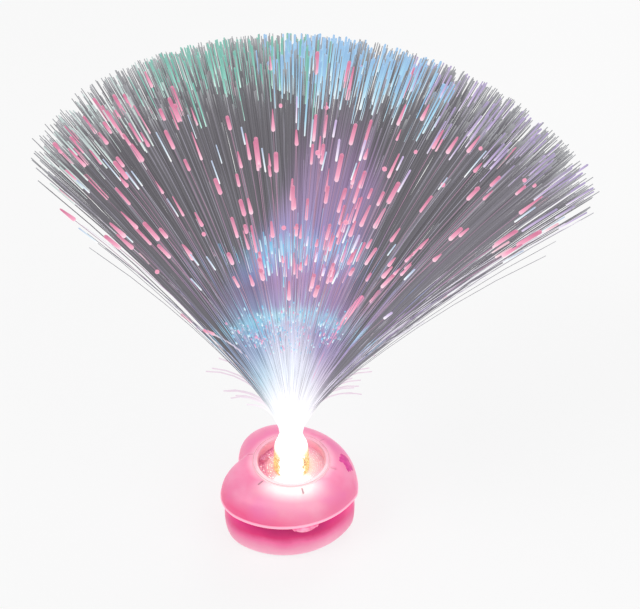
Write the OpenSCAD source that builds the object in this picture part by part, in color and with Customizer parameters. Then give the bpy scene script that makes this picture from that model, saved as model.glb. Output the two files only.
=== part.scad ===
// Fibre optic lamp on a puffy heart base.
// The origin is on the table under the axis of the fibre bundle, +X points to the heart's tip, +Z is up.

/* [Heart outline] */
// Radius of the two lobes
lobe_r = 24.7; // [22:0.1:30]
// Distance of the lobe centres behind the bundle axis
lobe_back = 14; // [11:0.5:17]
// Distance of each lobe centre to the side of the symmetry plane
lobe_side = 16; // [14:0.5:19.5]
// Radius of the tip
tip_r = 9; // [8.7:0.1:12]
// Distance of the tip's centre in front of the bundle axis
tip_front = 32.6; // [30:0.1:40]
// Radius of the long sides
side_r = 49; // [46:0.5:60]
// Radius of the notch between the lobes
notch_r = 2.5; // [1:0.5:4]

/* [Case] */
// Gap between the table and the underside
foot_gap = 1; // [0.6:0.1:1.6]
// Height of the seam between the two shells
rim_z = 29; // [26:0.1:35]
// Height of the lip round the rim
rim_h = 2.4; // [1.6:0.1:3]
// Height of the dome above the lip
dome_h = 15.4; // [13:0.1:18.5]
// Wall of the top shell
top_wall = 1.8; // [1.2:0.1:2.2]
// Wall of the lower shell
low_wall = 2; // [1.4:0.1:2.4]
// Thickness of the base plate
plate_t = 2; // [1.6:0.1:2.4]

/* [Crater] */
// Radius of the opening in the dome
ring_r = 22; // [21:0.1:26]
// Width of the wall of the trim ring
ring_wall = 1.7; // [1.2:0.1:2]
// Overlap of the trim ring on the dome
ring_lip = 1.4; // [1:0.1:2]
// Thickness of the trim ring's flange
ring_t = 1.2; // [0.8:0.1:1.6]
// Depth of the crater below the dome's opening
crater_depth = 4.8; // [3.5:0.1:5.8]
// Thickness of the crater's floor
dish_t = 1.7; // [1.4:0.1:2.2]

/* [Collar] */
// Radius of the clear collar at its foot
collar_r = 10.8; // [10:0.1:13]
// Height of the clear collar
collar_h = 24.5; // [20:0.5:29]
// Wall of the ferrule
ferrule_wall = 0.6; // [0.4:0.1:0.8]
// Running gap round the ferrule
ferrule_gap = 0.05; // [0.02:0.01:0.1]

/* [Fibres] */
// Radius of the potted root of the fibres
bundle_r = 5.9; // [5:0.1:6.5]
// Rings of fibres in the root
fibre_rings = 11; // [10:1:12]
// Length of the long fibres outside the root
fibre_long = 240; // [190:5:290]
// Length of the middle fibres
fibre_mid = 140; // [115:5:170]
// Length of the short fibres
fibre_short = 86; // [70:2:105]
// Lean of the outermost fibres at their tips
fibre_lean = 58; // [45:1:65]
// Radius of a drawn fibre
fibre_r = 0.28; // [0.2:0.02:0.34]

/* [Cells] */
// Diameter of a cell
cell_d = 10.5; // [10.5:0.1:12.6]
// Length of a cell with its nub
cell_l = 44.5; // [40:0.5:45]

/* [Button] */
// Direction that the button faces
button_angle = -57; // [-62:1:-52]
// Width of the button
button_w = 16; // [13:0.5:19]
// Height of the button
button_h = 3.5; // [2.8:0.1:3.6]
// How far the button goes in
button_travel = 1.6; // [1:0.1:1.9]

/* [Hidden] */
$fn = 64;

fit = 0.15;              // gap between pieces that are put together
pink = [0.95, 0.45, 0.66];
deep_pink = [0.9, 0.28, 0.55];

// Heights, from the table up
plate_top = foot_gap + plate_t;
ledge_t = 1.2;
ring_z = rim_z + rim_h + dome_h;
dish_top = ring_z - crater_depth;
dish_z = dish_top - dish_t;
collar_top = dish_top + collar_h;
lens_t = 1;
lens_z = dish_top + 0.3 - lens_t;
led_h = 8.6;
led_d = 5;
led_ring = 3.15;          // radius of the ring that the three lights stand on
board_t = 1.6;
board_z = lens_z - 0.1 - led_h - board_t;
root_top = collar_top - 5.5;
ferrule_z = lens_z + lens_t;
ferrule_lip = 0.6;          // how far the ferrule stands above the root that it holds

// Centres of the arcs of the heart: the sides are tangent to the lobes and to the tip
lobe_c = [-lobe_back, lobe_side];
tip_c = [tip_front, 0];
lobe_reach = side_r - lobe_r;
tip_reach = side_r - tip_r;
span = norm(tip_c - lobe_c);
along = (lobe_reach ^ 2 - tip_reach ^ 2 + span ^ 2) / (2 * span);
across = sqrt(lobe_reach ^ 2 - along ^ 2);
unit = (tip_c - lobe_c) / span;
side_c = lobe_c + along * unit + across * [unit.y, -unit.x];
notch_c = [-lobe_back - sqrt((lobe_r + notch_r) ^ 2 - lobe_side ^ 2), 0];
tip_turn = atan2(-side_c.y, tip_front - side_c.x);
lobe_turn = atan2(lobe_c.y - side_c.y, lobe_c.x - side_c.x);
notch_turn = 360 + atan2(-lobe_side, notch_c.x + lobe_back);

function polar(r, a) = r * [cos(a), sin(a)];
function arc(c, r, from, to, steps) = [for (i = [0:steps - 1]) c + polar(r, from + (to - from) * i / steps)];
function lower(v) = [v.x, -v.y];

// The heart's outline, drawn in by an inset, counterclockwise
function heart(inset) = concat(
    arc(tip_c, tip_r - inset, -tip_turn, tip_turn, 5),
    arc(side_c, side_r - inset, tip_turn, lobe_turn, 13),
    arc(lobe_c, lobe_r - inset, lobe_turn, notch_turn, 14),
    arc(notch_c, notch_r + inset, notch_turn - 180, 180 - notch_turn, 4),
    arc(lower(lobe_c), lobe_r - inset, 360 - notch_turn, 360 - lobe_turn, 14),
    arc(lower(side_c), side_r - inset, 360 - lobe_turn, 360 - tip_turn, 13));

// One level of a shell: the outline drawn in by an inset, blended to the round opening by a share
function level(inset, z, share = 0) = [for (p = heart(inset))
    let (q = (1 - share) * p + share * ring_r * p / norm(p)) [q.x, q.y, z]];

// A closed shell swept round the heart through a loop of levels
module heart_sweep(levels) {
    rows = len(levels);
    cols = len(levels[0]);
    function at(row, col) = (row % rows) * cols + col % cols;
    polyhedron([for (row = levels) each row],
        [for (i = [0:rows - 1], j = [0:cols - 1]) each [
            [at(i, j), at(i + 1, j + 1), at(i, j + 1)],
            [at(i, j), at(i + 1, j), at(i + 1, j + 1)]]]);
}

// A tube along a route of points, closed at both ends
module tube(route, r, sides = 6) {
    last = len(route) - 1;
    function way(i) = let (d = route[min(i + 1, last)] - route[max(i - 1, 0)]) d / norm(d);
    function flat(i) = let (d = way(i), e = abs(d.z) > 0.9 ? [1, 0, 0] : [0, 0, 1], s = cross(d, e)) s / norm(s);
    function point(i, j) = let (u = flat(i), v = cross(way(i), u), a = 360 * j / sides)
        route[i] + r * (cos(a) * u + sin(a) * v);
    function at(i, j) = i * sides + j % sides;
    polyhedron([for (i = [0:last], j = [0:sides - 1]) point(i, j)],
        concat(
            [for (i = [0:last - 1], j = [0:sides - 1]) each [
                [at(i, j), at(i + 1, j + 1), at(i, j + 1)],
                [at(i, j), at(i + 1, j), at(i + 1, j + 1)]]],
            [[for (j = [0:sides - 1]) at(0, j)]],
            [[for (j = [sides - 1:-1:0]) at(last, j)]]));
}

// The base, from the floor to the seam
side_bulge = 2;          // inset of the lower shell at its widest
shoulder = 5;            // inset of its waist under the rim
tongue = shoulder + 1.4; // inset of the tongue that the top shell drops over
tongue_w = 1.4;
tongue_h = 2;
foot_in = 6.8;           // inset of the underside's edge
plate_in = 7.4;          // inset of the opening that the base plate closes
ledge_in = plate_in + 1.2;
flange_t = 1.6;
inner = side_bulge + low_wall;
low_mid = (rim_z + foot_gap) / 2;
bulge_rise = 0.2 * (rim_z - foot_gap);

module lower_shell() {
    color(deep_pink) difference() {
        heart_sweep([
            level(foot_in, foot_gap),
            level(foot_in - 0.8, foot_gap + 0.3),
            level(foot_in - 2.2, foot_gap + 1.6),
            level(side_bulge + 1.2, foot_gap + 4),
            level(side_bulge + 0.3, low_mid - bulge_rise),
            level(side_bulge, low_mid),
            level(side_bulge + 0.4, low_mid + bulge_rise),
            level(side_bulge + 1.4, rim_z - 3.6),
            level(shoulder - 0.5, rim_z - 1.4),
            level(shoulder, rim_z),
            level(tongue, rim_z),
            level(tongue, rim_z + tongue_h),
            level(tongue + tongue_w, rim_z + tongue_h),
            level(tongue + tongue_w, rim_z + 0.4),
            level(inner + 1.4, rim_z - 3.6),
            level(inner + 0.4, low_mid + bulge_rise),
            level(inner, low_mid),
            level(inner + 0.3, low_mid - bulge_rise),
            level(inner + 1.4, plate_top + ledge_t + 2.2),
            level(ledge_in, plate_top + ledge_t),
            level(ledge_in, plate_top),
            level(plate_in, plate_top),
            level(plate_in, foot_gap)]);
        at_button() crescent(side_r - 12, 14, fit, 12);
        // The ledge gives way to the battery box
        translate([bay_x - bay_wall - fit, -bay.y / 2 - bay_wall - fit, plate_top - fit])
            cube([bay.x + 2 * (bay_wall + fit), bay.y + 2 * (bay_wall + fit), roof_z - plate_top + 2 * fit]);
    }
}

dome_steps = 8;
crease = 0.5;
module top_shell() {
    color(pink) heart_sweep(concat(
        [level(0.7, rim_z), level(0.15, rim_z + 0.4), level(0, rim_z + 1.1), level(0.1, rim_z + rim_h - 0.5)],
        [for (i = [0:dome_steps]) let (a = 90 * i / dome_steps)
            level(crease, rim_z + rim_h + dome_h * sin(a), 1 - cos(a))],
        [for (i = [dome_steps:-1:0]) let (a = 90 * i / dome_steps)
            level(top_wall + crease, rim_z + rim_h + 0.4 + (dome_h - top_wall - 0.4) * sin(a), 1 - cos(a))],
        [level(top_wall + crease, rim_z + flange_t), level(tongue - fit, rim_z + flange_t),
            level(tongue - fit, rim_z)]));
}

// The battery box
pitch = cell_d + 0.7;
bay_front = 11.2;
bay = [3 * pitch + 0.4, cell_l + 3.5];
bay_x = bay_front - bay.x;
cell_z = plate_top + cell_d / 2 + 1.05;
bay_top = cell_z + cell_d / 2 + 0.65;
bay_wall = 1.2;
roof_t = 2.8;
roof_z = bay_top + roof_t;
door_gap = 0.2;
door_t = 1.6;
tongue_y = 14;           // the door's two tongues sit at this distance to each side
tongue_l = 6;

// The three screws that clamp the case
column_at = [for (a = [0, 120, 240]) polar(17, a)];
column_r = 3;
screw_r = 1.3;
pilot_r = 1.05;
head_r = 2.2;
head_h = 1.6;
head_z = bay_top + 0.2;
screw_l = 14;

// The board's three pillars, turned clear of the switch
pillar_at = [for (a = [60, 180, 300]) polar(10.5, button_angle + a)];

// The four feet
foot_r = 3;
foot_at = [[-15, 28.2], [-15, -28.2], [27, 5.5], [27, -5.5]];
foot_sink = 0.6;

module base_plate() {
    color("white") difference() {
        union() {
            translate([0, 0, foot_gap]) linear_extrude(plate_t) polygon(heart(plate_in + fit));
            translate([bay_x - bay_wall, -bay.y / 2 - bay_wall, plate_top - 0.5])
                cube([bay.x + 2 * bay_wall, bay.y + 2 * bay_wall, roof_z - plate_top + 0.5]);
            translate([column_at[0].x, 0, plate_top - 0.5]) cylinder(r = 3.6, h = roof_z - plate_top + 0.5);
            for (p = pillar_at) translate([p.x, p.y, roof_z - 0.5]) cylinder(r = 2, h = board_z - roof_z + 0.5);
            at_button() translate([guide_x, -4, roof_z - 1.5])
                cube([guide_t, 8, button_z + 2.6 - roof_z + 1.5]);
        }
        translate([bay_x, -bay.y / 2, 0]) cube([bay.x, bay.y, bay_top]);
        for (s = [-1, 1])
            translate([bay_x - bay_wall - 1, s * tongue_y - tongue_l / 2 - fit, plate_top])
                cube([bay_wall + 2, tongue_l + 2 * fit, 2.6]);
        for (p = column_at) translate([p.x, p.y, 0]) {
            cylinder(r = screw_r + 0.1, h = 60);
            cylinder(r = head_r + 0.2, h = head_z + head_h);
        }
        for (p = pillar_at) translate([p.x, p.y, board_z - 4.5]) cylinder(r = 0.75, h = 10);
        at_button() translate([guide_x - 1, 0, button_z]) rotate([0, 90, 0]) cylinder(r = stem_r + 0.06, h = guide_t + 2);
        for (p = foot_at) translate([p.x, p.y, foot_gap - 1]) cylinder(r = foot_r + fit, h = foot_sink + 1);
        for (y = [-1, 1]) translate([wire_x, y * wire_y, bay_top - 1]) cylinder(r = wire_r + 0.2, h = roof_t + 2);
    }
}

module battery_door() {
    color("white") {
        translate([bay_x + door_gap, -bay.y / 2 + door_gap, foot_gap + 0.2])
            cube([bay.x - 2 * door_gap, bay.y - 2 * door_gap, door_t]);
        for (s = [-1, 1])
            translate([bay_x - 1.6, s * tongue_y - tongue_l / 2, plate_top + 0.1])
                cube([3.4, tongue_l, 0.8]);
        for (s = [-1, 1])
            translate([bay_x + door_gap, s * tongue_y - tongue_l / 2, foot_gap + 1])
                cube([1.6, tongue_l, plate_t + 0.2]);
        // Sprung latch: a thin wall that stands up at the free end
        translate([bay_front - door_gap - 1.6, -5, foot_gap + 1]) cube([1.4, 10, plate_t + 1.4]);
    }
}

module feet() {
    color("dimgray") for (p = foot_at)
        translate([p.x, p.y, 0]) cylinder(r = foot_r, h = foot_gap + foot_sink);
}

pit_r = ring_r - fit - ring_wall;
module trim_ring() {
    color([1, 0.7, 0.82]) difference() {
        rotate_extrude() polygon([
            [pit_r, dish_top],
            [pit_r + ring_wall, dish_top],
            [pit_r + ring_wall, ring_z],
            [ring_r + ring_lip, ring_z],
            [ring_r + ring_lip, ring_z + 0.5],
            [ring_r + ring_lip - 0.6, ring_z + ring_t],
            [pit_r + 0.5, ring_z + ring_t],
            [pit_r, ring_z + ring_t - 0.5]]);
        // Six small slots round the flange
        for (i = [0:5]) rotate(60 * i + 3)
            translate([ring_r + ring_lip - 0.5, -0.4, ring_z + 0.4]) cube([2, 0.8, 2]);
    }
}

// The crater's floor, with the columns that take the case screws from below
dish_hole = 8.6;
module recess_dish() {
    color(pink) difference() {
        union() {
            translate([0, 0, dish_z]) cylinder(r = pit_r + ring_wall, h = dish_t);
            for (p = column_at)
                translate([p.x, p.y, roof_z]) cylinder(r = column_r, h = dish_z - roof_z + 0.5);
            // A raised key at the back of the crater
            translate([-pit_r + 0.6, -2, dish_top - 0.5]) cube([3.2, 4, 2.7]);
        }
        translate([0, 0, dish_z - 1]) cylinder(r = dish_hole, h = dish_t + 2);
        for (p = column_at) translate([p.x, p.y, roof_z - 1])
            cylinder(r = pilot_r, h = head_z + head_h + screw_l - roof_z + 1);
    }
}

ferrule_r = bundle_r + 0.05 + ferrule_wall;
bore_r = ferrule_r + ferrule_gap;
module bundle_collar() {
    color([1, 0.95, 0.8, 0.5]) rotate_extrude() polygon([
        [bore_r, dish_top],
        [collar_r, dish_top],
        [collar_r, dish_top + 0.24 * collar_h],
        [collar_r - 0.8, dish_top + 0.29 * collar_h],
        [collar_r - 0.25, dish_top + 0.36 * collar_h],
        [collar_r - 0.5, dish_top + 0.5 * collar_h],
        [collar_r - 1.1, dish_top + 0.64 * collar_h],
        [collar_r - 2, dish_top + 0.77 * collar_h],
        [collar_r - 3, dish_top + 0.89 * collar_h],
        [bore_r + 0.9, collar_top],
        [bore_r + 0.3, collar_top],
        [bore_r, root_top + 2]]);
}

module ferrule() {
    color("silver") difference() {
        translate([0, 0, ferrule_z]) cylinder(r = ferrule_r, h = root_top + ferrule_lip - ferrule_z);
        translate([0, 0, ferrule_z - 1]) cylinder(r = bundle_r + 0.05, h = 100);
    }
}

// The fibres stand on every second triangle of a round lattice, so that no two ever meet.
// A fibre bends evenly over bend_l from the root and then runs straight, and leans the more, the
// further out it stands.
bend_l = 90;
short_zone = 0.66;       // only fibres inside this share of the root are short or middle ones
step = bundle_r / fibre_rings;
mid_angle = 30;
function lattice(k, j) = k == 0 ? 0 : 1 + 3 * k * (k - 1) + j % (6 * k);
function lattice_at(k, j) = polar(k * step, k == 0 ? 0 : 60 * j / k);
function lean(r) = fibre_lean * (r / bundle_r) ^ 1.3;
function kind(k, t) = (k / fibre_rings > short_zone) ? 0 : (2 * t + k) % 3;
function ends(k, t) = [fibre_long, fibre_mid, fibre_short][kind(k, t)] * (1 - 0.03 * ((3 * t + k + 1) % 4));
function stations(k, t) = let (l = ends(k, t))
    concat(k > fibre_rings - 2 ? [8] : [],
        kind(k, t) == 0 ? [50, 100, 165, l] : kind(k, t) == 1 ? [50, 100, l] : [45, l]);
function run_out(r, s) = let (a = max(lean(r), 0.1), b = min(s, bend_l))
    [bend_l / (a * PI / 180) * (1 - cos(a * b / bend_l)) + (s - b) * sin(a),
     bend_l / (a * PI / 180) * sin(a * b / bend_l) + (s - b) * cos(a)];
function section(p, s) = let (
        r = norm(p), d = p / r, a = lean(r) * min(s, bend_l) / bend_l, q = run_out(r, s),
        c = [d.x * (r + q.x), d.y * (r + q.x), root_top + q.y],
        u = fibre_r * [d.x * cos(a), d.y * cos(a), -sin(a)],
        v = fibre_r * [-d.y, d.x, 0])
    [c - u / 2 - 0.866 * v, c + u, c - u / 2 + 0.866 * v];
fibres = [for (k = [2:fibre_rings], s = [0:5], t = [0:k - 2])
    let (a = lattice_at(k - 1, s * (k - 1) + t), b = lattice_at(k - 1, s * (k - 1) + t + 1),
        c = lattice_at(k, s * k + t + 1))
    [[lattice(k - 1, s * (k - 1) + t), lattice(k, s * k + t + 1), lattice(k - 1, s * (k - 1) + t + 1)],
        [for (l = stations(k, t)) each section((a + b + c) / 3, l)]]];

module fibre_bundle() {
    tops = 1 + 3 * fibre_rings * (fibre_rings + 1);
    rim = 6 * fibre_rings;
    first = tops + rim + 1;
    counts = [for (f = fibres) len(f[1])];
    starts = [for (i = 0, n = first; i < len(fibres); n = n + counts[i], i = i + 1) n];
    echo(fibre_count = len(fibres));
    color([0.85, 0.8, 1]) polyhedron(
        concat(
            [[0, 0, root_top]],
            [for (k = [1:fibre_rings], j = [0:6 * k - 1]) [each lattice_at(k, j), root_top]],
            [for (j = [0:rim - 1]) [each lattice_at(fibre_rings, j), ferrule_z]],
            [[0, 0, ferrule_z]],
            [for (f = fibres) each f[1]]),
        concat(
            // The free triangles of the root's top
            [for (k = [1:fibre_rings], s = [0:5], t = [0:k - 1])
                [lattice(k, s * k + t), lattice(k - 1, s * (k - 1) + t), lattice(k, s * k + t + 1)]],
            // Its side and its polished underside
            [for (j = [0:rim - 1]) each [
                [tops + j, lattice(fibre_rings, j), lattice(fibre_rings, j + 1)],
                [tops + j, lattice(fibre_rings, j + 1), tops + (j + 1) % rim],
                [tops + rim, tops + j, tops + (j + 1) % rim]]],
            // The fibres
            [for (i = [0:len(fibres) - 1]) let (levels = counts[i] / 3)
                each concat(
                    [for (l = [0:levels - 1], e = [0:2]) let (
                            low = l == 0 ? fibres[i][0] : [for (m = [0:2]) starts[i] + 3 * l - 3 + m],
                            high = [for (m = [0:2]) starts[i] + 3 * l + m],
                            f = (e + 1) % 3)
                        each [[low[e], high[e], high[f]], [low[e], high[f], low[f]]]],
                    [[starts[i] + counts[i] - 3, starts[i] + counts[i] - 1, starts[i] + counts[i] - 2]])]));
}

reflector_r = dish_hole - fit;
module mixing_lens() {
    color([1, 1, 1, 0.5]) translate([0, 0, lens_z]) cylinder(r = 6.5, h = lens_t);
}

module led_reflector() {
    color("white") difference() {
        translate([0, 0, board_z + board_t]) cylinder(r = reflector_r, h = dish_top - board_z - board_t);
        translate([0, 0, board_z + board_t - 1]) cylinder(r = 6.2, h = 30);
        translate([0, 0, lens_z]) cylinder(r = 6.5 + 0.05, h = 30);
    }
}

module led(angle, tint) {
    color(tint) translate([polar(led_ring, angle).x, polar(led_ring, angle).y, board_z + board_t]) {
        cylinder(r = 2.7, h = 1);
        cylinder(r = led_d / 2, h = led_h - led_d / 2);
        translate([0, 0, led_h - led_d / 2]) sphere(r = led_d / 2);
    }
}

module led_red() led(90, [1, 0.2, 0.2]);
module led_green() led(210, [0.2, 1, 0.3]);
module led_blue() led(330, [0.2, 0.4, 1]);

module circuit_board() {
    color("seagreen") difference() {
        translate([0, 0, board_z]) union() {
            cylinder(r = 13.2, h = board_t);
            at_button() translate([switch_x - 8, -4.2, 0]) cube([guide_x - switch_x + 7, 8.4, board_t]);
        }
        for (p = pillar_at) translate([p.x, p.y, board_z - 1]) cylinder(r = 0.95, h = board_t + 2);
        for (y = [-1, 1]) translate([wire_end.x, y * wire_end.y, board_z - 1]) cylinder(r = wire_r + 0.1, h = 5);
    }
}

module controller_chip() {
    color("black") translate([-4, -2.5, board_z - 1.5]) cube([6, 5, 1.5]);
}

module resistors() {
    color("tan") for (i = [-1:1]) translate([4.5, 3 * i - 0.8, board_z - 0.6]) cube([3.2, 1.6, 0.6]);
}

// The push switch and its button, along the button's own direction
button_c = lower(side_c);
button_z = rim_z - 0.3 - button_h / 2;
button_proud = 0.3;
flange_x = side_r - 10;
guide_x = side_r - 15.5;
guide_t = 1.2;
stem_r = 1.5;
plunger_r = 1.2;
switch_x = side_r - 25;
switch_l = 6;
plunger_out = 1.8;
switch_h = board_z - button_z + plunger_r + 1.4;
module at_button() { translate(button_c) rotate(button_angle) children(); }
module along_x(x, r, l) { translate([x, 0, button_z]) rotate([0, 90, 0]) cylinder(r = r, h = l); }

// The outline of the button's face, straight on top and round below
crescent_r = (button_w ^ 2 / 4 + button_h ^ 2) / (2 * button_h);
module crescent(x, l, gap = 0, above = 0) {
    intersection() {
        translate([x, -button_w / 2 - gap, button_z - button_h / 2 - gap])
            cube([l, button_w + 2 * gap, button_h + gap + above]);
        translate([0, 0, crescent_r - button_h / 2]) along_x(x - 1, crescent_r + gap, l + 2);
    }
}

module switch_body() {
    color("dimgray") at_button() difference() {
        translate([switch_x, -3, board_z - switch_h]) cube([switch_l, 6, switch_h]);
        along_x(switch_x + 1.5, plunger_r + 0.08, switch_l);
    }
}

module switch_plunger() {
    color("white") at_button()
        along_x(switch_x + 1.5 + button_travel + 0.3, plunger_r, switch_l + plunger_out - 1.8 - button_travel);
}

module button_spring() {
    color("silver") at_button() difference() {
        along_x(guide_x + guide_t, stem_r + 0.35, flange_x - guide_x - guide_t);
        along_x(guide_x, stem_r + 0.1, 20);
    }
}

module push_button() {
    color([1, 0.5, 0.7]) at_button() {
        intersection() {
            crescent(flange_x + 0.6, 20);
            translate([0, 0, button_z - button_h / 2]) cylinder(r = side_r + button_proud, h = button_h);
        }
        translate([flange_x, -button_w / 2 - 1.3, button_z - button_h / 2])
            cube([1.2, button_w + 2.6, button_h]);
        along_x(switch_x + switch_l + plunger_out, stem_r, flange_x + 0.5 - switch_x - switch_l - plunger_out);
    }
}

// The cells lie side by side, the middle one turned round
nub_l = 1;
contact_t = 0.4;
spring_l = 2.2;
module cell(i) {
    turn = i == 1 ? 180 : 0;
    translate([bay_front - pitch / 2 - 0.2 - i * pitch, 0, cell_z]) rotate(turn)
        translate([0, -cell_l / 2 + (spring_l - contact_t) / 2, 0]) rotate([-90, 0, 0]) {
            color("goldenrod") cylinder(r = cell_d / 2, h = cell_l - nub_l);
            color("silver") translate([0, 0, cell_l - nub_l - 0.5]) cylinder(r = 1.9, h = nub_l + 0.5);
        }
}
module battery_cell_1() cell(0);
module battery_cell_2() cell(1);
module battery_cell_3() cell(2);

module battery_springs() {
    color("silver") for (i = [0:2]) {
        turn = i == 1 ? 180 : 0;
        translate([bay_front - pitch / 2 - 0.2 - i * pitch, 0, cell_z]) rotate(turn)
            translate([0, -bay.y / 2 + contact_t, 0]) rotate([-90, 0, 0]) difference() {
                cylinder(r = 3, h = (bay.y - cell_l) / 2 + (spring_l - contact_t) / 2 - contact_t);
                translate([0, 0, -1]) cylinder(r = 2.3, h = 10);
            }
    }
}

module contact_plates() {
    color("silver") for (s = [-1, 1], i = [0:2])
        translate([bay_front - pitch / 2 - 0.2 - i * pitch - 4, s * (bay.y / 2 - contact_t / 2) - contact_t / 2,
            cell_z - 4]) cube([8, contact_t, 8]);
}

// The wires leave the front cell's contacts through the roof and run to the board
wire_r = 0.6;
wire_x = 6;
wire_y = bay.y / 2 - 1.2;
wire_end = [1.5, 11.6];
module wire(side) {
    tube([[wire_x, side * wire_y, cell_z + 4.6], [wire_x, side * wire_y, roof_z],
        [wire_x, side * wire_y, roof_z + 1.5], [wire_x - 1, side * (wire_y - 1.6), roof_z + 3],
        [wire_end.x + 1, side * (wire_end.y + 3), roof_z + 2.6], [wire_end.x, side * (wire_end.y + 0.6), roof_z + 3.4],
        [wire_end.x, side * wire_end.y, board_z], [wire_end.x, side * wire_end.y, board_z + board_t + 0.3]], wire_r);
}
module wire_red() { color("red") wire(1); }
module wire_black() { color([0.1, 0.1, 0.1]) wire(-1); }

module screw(at, z, length, r, cap_r, cap_h) {
    translate([at.x, at.y, z]) difference() {
        union() {
            cylinder(r = cap_r, h = cap_h);
            translate([0, 0, cap_h - 0.1]) cylinder(r = r, h = length + 0.1);
        }
        for (a = [0, 90]) rotate(a) translate([-cap_r * 0.7, -0.25, -1]) cube([cap_r * 1.4, 0.5, 1.7]);
    }
}
module case_screws() {
    color("silver") for (p = column_at) screw(p, head_z, screw_l - 1, pilot_r, head_r, head_h);
}
module board_screws() {
    color("silver") for (p = pillar_at)
        translate([0, 0, 2 * (board_z + board_t) + 1]) mirror([0, 0, 1])
            screw(p, board_z + board_t, 5, 0.75, 1.7, 1);
}

lower_shell();
top_shell();
base_plate();
battery_door();
feet();
trim_ring();
recess_dish();
bundle_collar();
ferrule();
fibre_bundle();
mixing_lens();
led_reflector();
led_red();
led_green();
led_blue();
circuit_board();
controller_chip();
resistors();
switch_body();
switch_plunger();
button_spring();
push_button();
battery_cell_1();
battery_cell_2();
battery_cell_3();
battery_springs();
contact_plates();
wire_red();
wire_black();
case_screws();
board_screws();
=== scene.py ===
"""A battery lamp: a spray of optical fibres that stands in a glowing, puffy pink heart."""

import math
from functools import partialmethod

import bpy
import numpy as np
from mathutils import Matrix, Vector


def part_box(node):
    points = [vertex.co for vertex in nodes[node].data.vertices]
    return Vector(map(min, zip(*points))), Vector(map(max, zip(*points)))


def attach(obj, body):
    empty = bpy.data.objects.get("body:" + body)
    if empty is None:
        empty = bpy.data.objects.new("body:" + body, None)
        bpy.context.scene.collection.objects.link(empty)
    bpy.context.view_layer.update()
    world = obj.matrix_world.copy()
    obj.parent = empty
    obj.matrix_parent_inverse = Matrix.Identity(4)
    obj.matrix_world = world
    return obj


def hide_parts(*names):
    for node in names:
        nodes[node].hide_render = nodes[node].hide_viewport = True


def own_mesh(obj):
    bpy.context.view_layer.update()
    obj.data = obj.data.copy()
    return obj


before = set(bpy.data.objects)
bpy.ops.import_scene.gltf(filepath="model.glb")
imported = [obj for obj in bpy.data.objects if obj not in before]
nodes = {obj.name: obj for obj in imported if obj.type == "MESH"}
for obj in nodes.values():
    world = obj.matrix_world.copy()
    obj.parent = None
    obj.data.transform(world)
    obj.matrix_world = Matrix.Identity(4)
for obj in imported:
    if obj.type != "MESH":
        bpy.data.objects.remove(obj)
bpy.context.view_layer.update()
MM = 0.001  # shapes are worked out in millimetres, and each piece is made in metres

# ---------------- the photograph's view

VIEW_TURN = math.radians(18.8)  # the camera stands this far round the lamp from the front
VIEW_TILT = math.radians(43.6)  # and this far above the ring
VIEW_DISTANCE = 840 * MM
FOCAL_PIXELS = 1387
PHOTO_WIDTH = 640
SENSOR = 36.0
RING_CENTRE = Vector((0, 0, 46.8)) * MM
AIM = Vector((16.3, 5.5, 164.3)) * MM
RIGHT = np.array([math.cos(VIEW_TURN), math.sin(VIEW_TURN), 0.0])
BACK = np.array([-math.sin(VIEW_TURN), math.cos(VIEW_TURN), 0.0])
VIEW_UP = BACK * math.sin(VIEW_TILT) + np.array([0, 0, math.cos(VIEW_TILT)])


def add_object(name, data):
    made = bpy.data.objects.new(name, data)
    bpy.context.scene.collection.objects.link(made)
    return made


def add_aimed(name, data, place, target):
    """An object at a place, turned to look at a target."""
    made = add_object(name, data)
    made.location = place
    made.rotation_euler = (Vector(target) - Vector(place)).to_track_quat("-Z", "Y").to_euler()
    return made


def add_camera():
    data = bpy.data.cameras.new("camera")
    data.sensor_width = SENSOR
    data.lens = FOCAL_PIXELS / PHOTO_WIDTH * SENSOR
    data.clip_start = 0.01
    towards = -Vector(BACK) * math.cos(VIEW_TILT) + Vector((0, 0, math.sin(VIEW_TILT)))
    bpy.context.scene.camera = add_aimed("camera", data, RING_CENTRE + VIEW_DISTANCE * towards, AIM)


# ---------------- materials


def linear(code):
    """A screen colour such as "f48fb1" as the renderer's linear values."""
    parts = [int(code[i : i + 2], 16) / 255 for i in (0, 2, 4)]
    return tuple(c / 12.92 if c <= 0.04045 else ((c + 0.055) / 1.055) ** 2.4 for c in parts) + (1,)


def feed(tree, socket, value):
    """Links a value to a socket, or writes a number, a vector or a colour there."""
    if isinstance(value, Value):
        tree.links.new(value.socket, socket)
    else:
        socket.default_value = linear(value) if isinstance(value, str) else value


def add_node(tree, kind, inputs, **settings):
    made = tree.nodes.new("ShaderNode" + kind)
    for key, value in settings.items():
        setattr(made, key, value)
    for key, value in inputs.items():
        feed(tree, made.inputs[key], value)
    return made


class Maker:
    """Makes nodes in its tree, and gives their outputs as values."""

    def node(self, kind, inputs, output=0, **settings):
        return Value(self.tree, add_node(self.tree, kind, inputs, **settings), output)


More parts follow.
